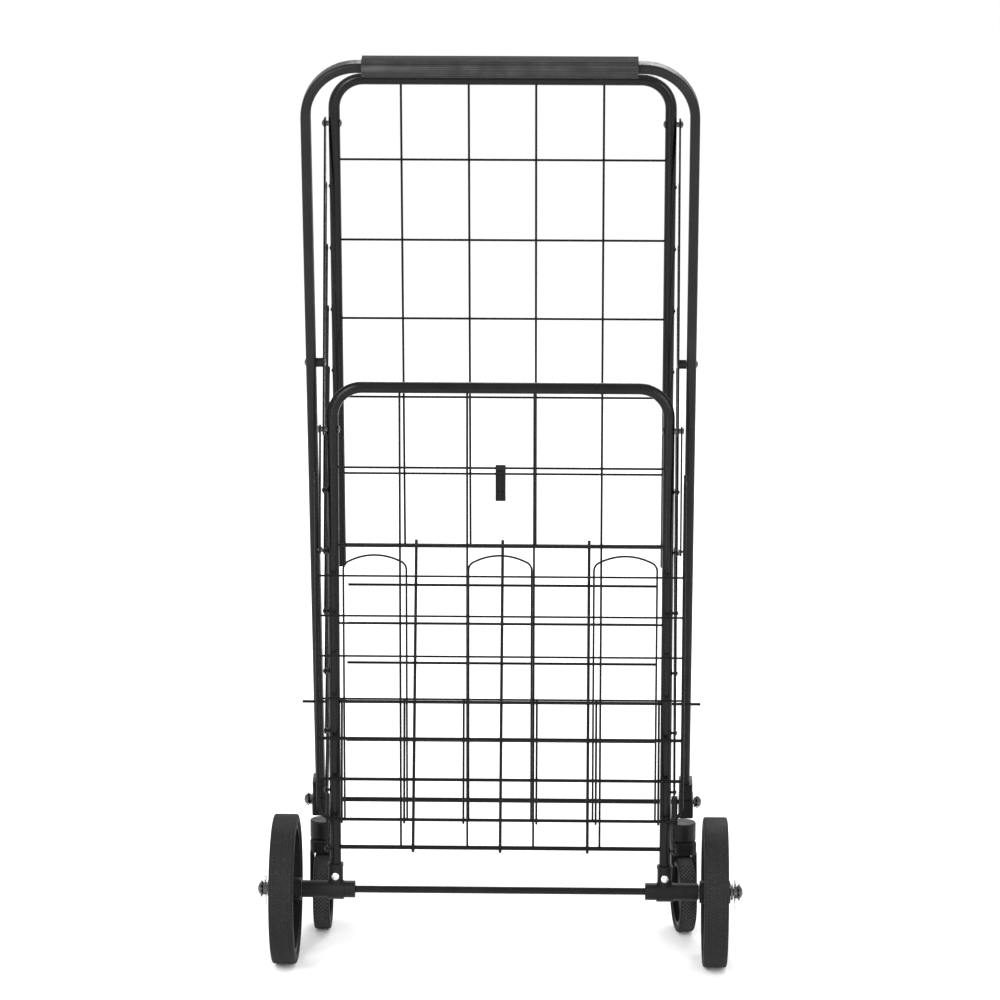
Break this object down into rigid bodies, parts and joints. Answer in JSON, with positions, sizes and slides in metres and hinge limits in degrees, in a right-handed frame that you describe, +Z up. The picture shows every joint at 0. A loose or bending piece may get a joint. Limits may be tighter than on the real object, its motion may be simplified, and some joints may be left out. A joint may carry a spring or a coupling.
{
  "type": "folding shopping trolley",
  "caption": "Folding wire shopping trolley, shown folded flat, with a foam-gripped handle, large rear wheels, swivel front casters and a small rear basket.",
  "frame": {"origin": "on the floor, at the middle of the folded footprint", "axes": "+X right as the user stands behind it, +Y forwards, +Z up"},
  "size_m": [0.536, 0.2472, 1.0081],
  "materials": {
    "black_coat": "gloss black powder coat on wire and tube",
    "dark_tube": "satin black powder coat",
    "foam": "matte closed-cell foam",
    "black_plastic": "black moulded plastic, lightly grained",
    "tyre_black": "black moulded rubber",
    "bright_steel": "zinc-plated steel"
  },
  "bodies": {
    "rear_panel": {"rear_panel_tube": "black_coat", "rear_panel_cross_wires": "black_coat", "rear_panel_uprights": "black_coat", "rear_side_pins": "bright_steel", "rear_link_rivets": "bright_steel", "axle_bracket_left": "black_plastic", "axle_bracket_right": "black_plastic", "bracket_rivets": "bright_steel", "rear_axle": "black_coat", "axle_end_caps": "bright_steel", "axle_split_pins": "bright_steel", "axle_washers": "bright_steel"},
    "rear_wheel_left": {"rear_tyre_left": "tyre_black", "rear_rim_left": "black_plastic"},
    "rear_wheel_right": {"rear_tyre_right": "tyre_black", "rear_rim_right": "black_plastic"},
    "top_links": {"top_link_left": "black_coat", "top_link_right": "black_coat", "handle_pivot_rivets": "bright_steel", "handle_pivot_spacers": "black_plastic"},
    "front_panel": {"front_panel_tube": "black_coat", "front_panel_cross_wires": "black_coat", "front_panel_uprights": "black_coat", "front_link_bolts": "bright_steel", "front_wire_studs": "bright_steel"},
    "handle": {"handle_tube": "dark_tube", "handle_grip": "foam", "leg_socket_left": "black_plastic", "leg_socket_right": "black_plastic", "front_rod": "black_coat", "front_rod_caps": "bright_steel"},
    "floor_panel": {"floor_prongs": "black_coat", "floor_cross_wires": "black_coat"},
    "latch": {"fold_latch": "black_plastic"},
    "rear_basket_links": {"rear_basket_links": "black_coat"},
    "rear_basket": {"rear_basket_frame": "black_coat", "rear_basket_cross_wires": "black_coat", "rear_basket_arches": "black_coat", "rear_basket_pins": "bright_steel"},
    "rear_basket_floor": {"rear_basket_floor_wires": "black_coat"},
    "caster_bracket_left": {"caster_bracket_left": "black_plastic"},
    "caster_fork_left": {"caster_fork_left": "black_plastic", "caster_axle_left": "bright_steel"},
    "caster_wheel_left": {"caster_tyre_left": "tyre_black", "caster_hub_left": "black_plastic"},
    "caster_bracket_right": {"caster_bracket_right": "black_plastic"},
    "caster_fork_right": {"caster_fork_right": "black_plastic", "caster_axle_right": "bright_steel"},
    "caster_wheel_right": {"caster_tyre_right": "tyre_black", "caster_hub_right": "black_plastic"},
    "side_wires_1": {"side_wires_1": "black_coat"},
    "side_wires_2": {"side_wires_2": "black_coat"},
    "side_wires_3": {"side_wires_3": "black_coat"},
    "side_wires_4": {"side_wires_4": "black_coat"},
    "side_wires_5": {"side_wires_5": "black_coat"},
    "side_wires_6": {"side_wires_6": "black_coat"},
    "side_wires_7": {"side_wires_7": "black_coat"}
  },
  "joints": [
    {"name": "fold", "type": "hinge", "parent": "rear_panel", "child": "top_links", "pos_m": [0, -0.0411, 0.6], "axis": [-1, 0, 0], "range_deg": [0, 68.49]},
    {"name": "front_panel_pivot", "type": "hinge", "parent": "top_links", "child": "front_panel", "pos_m": [0, 0.02107, 0.92409], "axis": [-1, 0, 0], "range_deg": [-62.15, 0]},
    {"name": "handle_pivot", "type": "hinge", "parent": "top_links", "child": "handle", "pos_m": [0, -0.02753, 0.67071], "axis": [-1, 0, 0], "range_deg": [-86.52, 0]},
    {"name": "caster_bracket_left_pivot", "type": "hinge", "parent": "handle", "child": "caster_bracket_left", "pos_m": [-0.1938, 0.07629, 0.152], "axis": [-1, 0, 0], "range_deg": [0, 18.03]},
    {"name": "caster_bracket_right_pivot", "type": "hinge", "parent": "handle", "child": "caster_bracket_right", "pos_m": [0.1938, 0.07629, 0.152], "axis": [-1, 0, 0], "range_deg": [0, 18.03]},
    {"name": "floor_hinge", "type": "hinge", "parent": "rear_panel", "child": "floor_panel", "pos_m": [0, -0.0411, 0.131], "axis": [-1, 0, 0], "range_deg": [0, 62.35]},
    {"name": "side_wires_1_pivot", "type": "hinge", "parent": "rear_panel", "child": "side_wires_1", "pos_m": [0, -0.0411, 0.5327], "axis": [-1, 0, 0], "range_deg": [0, 67.46]},
    {"name": "side_wires_2_pivot", "type": "hinge", "parent": "rear_panel", "child": "side_wires_2", "pos_m": [0, -0.0411, 0.4654], "axis": [-1, 0, 0], "range_deg": [0, 66.38]},
    {"name": "side_wires_3_pivot", "type": "hinge", "parent": "rear_panel", "child": "side_wires_3", "pos_m": [0, -0.0411, 0.3981], "axis": [-1, 0, 0], "range_deg": [0, 65.3]},
    {"name": "side_wires_4_pivot", "type": "hinge", "parent": "rear_panel", "child": "side_wires_4", "pos_m": [0, -0.0411, 0.3308], "axis": [-1, 0, 0], "range_deg": [0, 64.23]},
    {"name": "side_wires_5_pivot", "type": "hinge", "parent": "rear_panel", "child": "side_wires_5", "pos_m": [0, -0.0411, 0.2635], "axis": [-1, 0, 0], "range_deg": [0, 63.16]},
    {"name": "side_wires_6_pivot", "type": "hinge", "parent": "rear_panel", "child": "side_wires_6", "pos_m": [0, -0.0411, 0.1962], "axis": [-1, 0, 0], "range_deg": [0, 62.1]},
    {"name": "side_wires_7_pivot", "type": "hinge", "parent": "rear_panel", "child": "side_wires_7", "pos_m": [0, -0.0411, 0.1289], "axis": [-1, 0, 0], "range_deg": [0, 61.04]},
    {"name": "rear_basket_fold", "type": "hinge", "parent": "rear_panel", "child": "rear_basket_links", "pos_m": [0, -0.0411, 0.6], "axis": [-1, 0, 0], "range_deg": [0, 83.4]},
    {"name": "rear_basket_pivot", "type": "hinge", "parent": "rear_basket_links", "child": "rear_basket", "pos_m": [0, -0.0561, 0.47], "axis": [-1, 0, 0], "range_deg": [-83.45, 0]},
    {"name": "rear_basket_floor_pivot", "type": "hinge", "parent": "rear_panel", "child": "rear_basket_floor", "pos_m": [0, -0.0411, 0.297], "axis": [-1, 0, 0], "range_deg": [0, 83.45]},
    {"name": "latch_swing", "type": "hinge", "parent": "rear_panel", "child": "latch", "pos_m": [0, -0.0411, 0.558], "axis": [1, 0, 0], "range_deg": [-90, 90]},
    {"name": "rear_wheel_left_spin", "type": "hinge", "parent": "rear_panel", "child": "rear_wheel_left", "pos_m": [-0.237, -0.0411, 0.0825], "axis": [1, 0, 0], "continuous": true},
    {"name": "caster_left_swivel", "type": "hinge", "parent": "caster_bracket_left", "child": "caster_fork_left", "pos_m": [-0.2035, 0.08989, 0.104], "axis": [0, 0, 1], "continuous": true},
    {"name": "caster_left_spin", "type": "hinge", "parent": "caster_fork_left", "child": "caster_wheel_left", "pos_m": [-0.2035, 0.07989, 0.043], "axis": [1, 0, 0], "continuous": true},
    {"name": "rear_wheel_right_spin", "type": "hinge", "parent": "rear_panel", "child": "rear_wheel_right", "pos_m": [0.237, -0.0411, 0.0825], "axis": [1, 0, 0], "continuous": true},
    {"name": "caster_right_swivel", "type": "hinge", "parent": "caster_bracket_right", "child": "caster_fork_right", "pos_m": [0.2035, 0.08989, 0.104], "axis": [0, 0, 1], "continuous": true},
    {"name": "caster_right_spin", "type": "hinge", "parent": "caster_fork_right", "child": "caster_wheel_right", "pos_m": [0.20489, 0.07999, 0.043], "axis": [0.9903, 0.1392, 0], "continuous": true}
  ],
  "couplings": [
    {"joint": "front_panel_pivot", "follows": "fold", "ratio": -0.90666},
    {"joint": "handle_pivot", "follows": "fold", "ratio": -1.2626},
    {"joint": "caster_bracket_left_pivot", "follows": "fold", "ratio": 0.26259},
    {"joint": "caster_bracket_right_pivot", "follows": "fold", "ratio": 0.26259},
    {"joint": "floor_hinge", "follows": "fold", "ratio": 0.90962},
    {"joint": "side_wires_1_pivot", "follows": "fold", "ratio": 0.98425},
    {"joint": "side_wires_2_pivot", "follows": "fold", "ratio": 0.96849},
    {"joint": "side_wires_3_pivot", "follows": "fold", "ratio": 0.95275},
    {"joint": "side_wires_4_pivot", "follows": "fold", "ratio": 0.93705},
    {"joint": "side_wires_5_pivot", "follows": "fold", "ratio": 0.92142},
    {"joint": "side_wires_6_pivot", "follows": "fold", "ratio": 0.9059},
    {"joint": "side_wires_7_pivot", "follows": "fold", "ratio": 0.89052},
    {"joint": "rear_basket_pivot", "follows": "rear_basket_fold", "ratio": -1},
    {"joint": "rear_basket_floor_pivot", "follows": "rear_basket_fold", "ratio": 1}
  ]
}
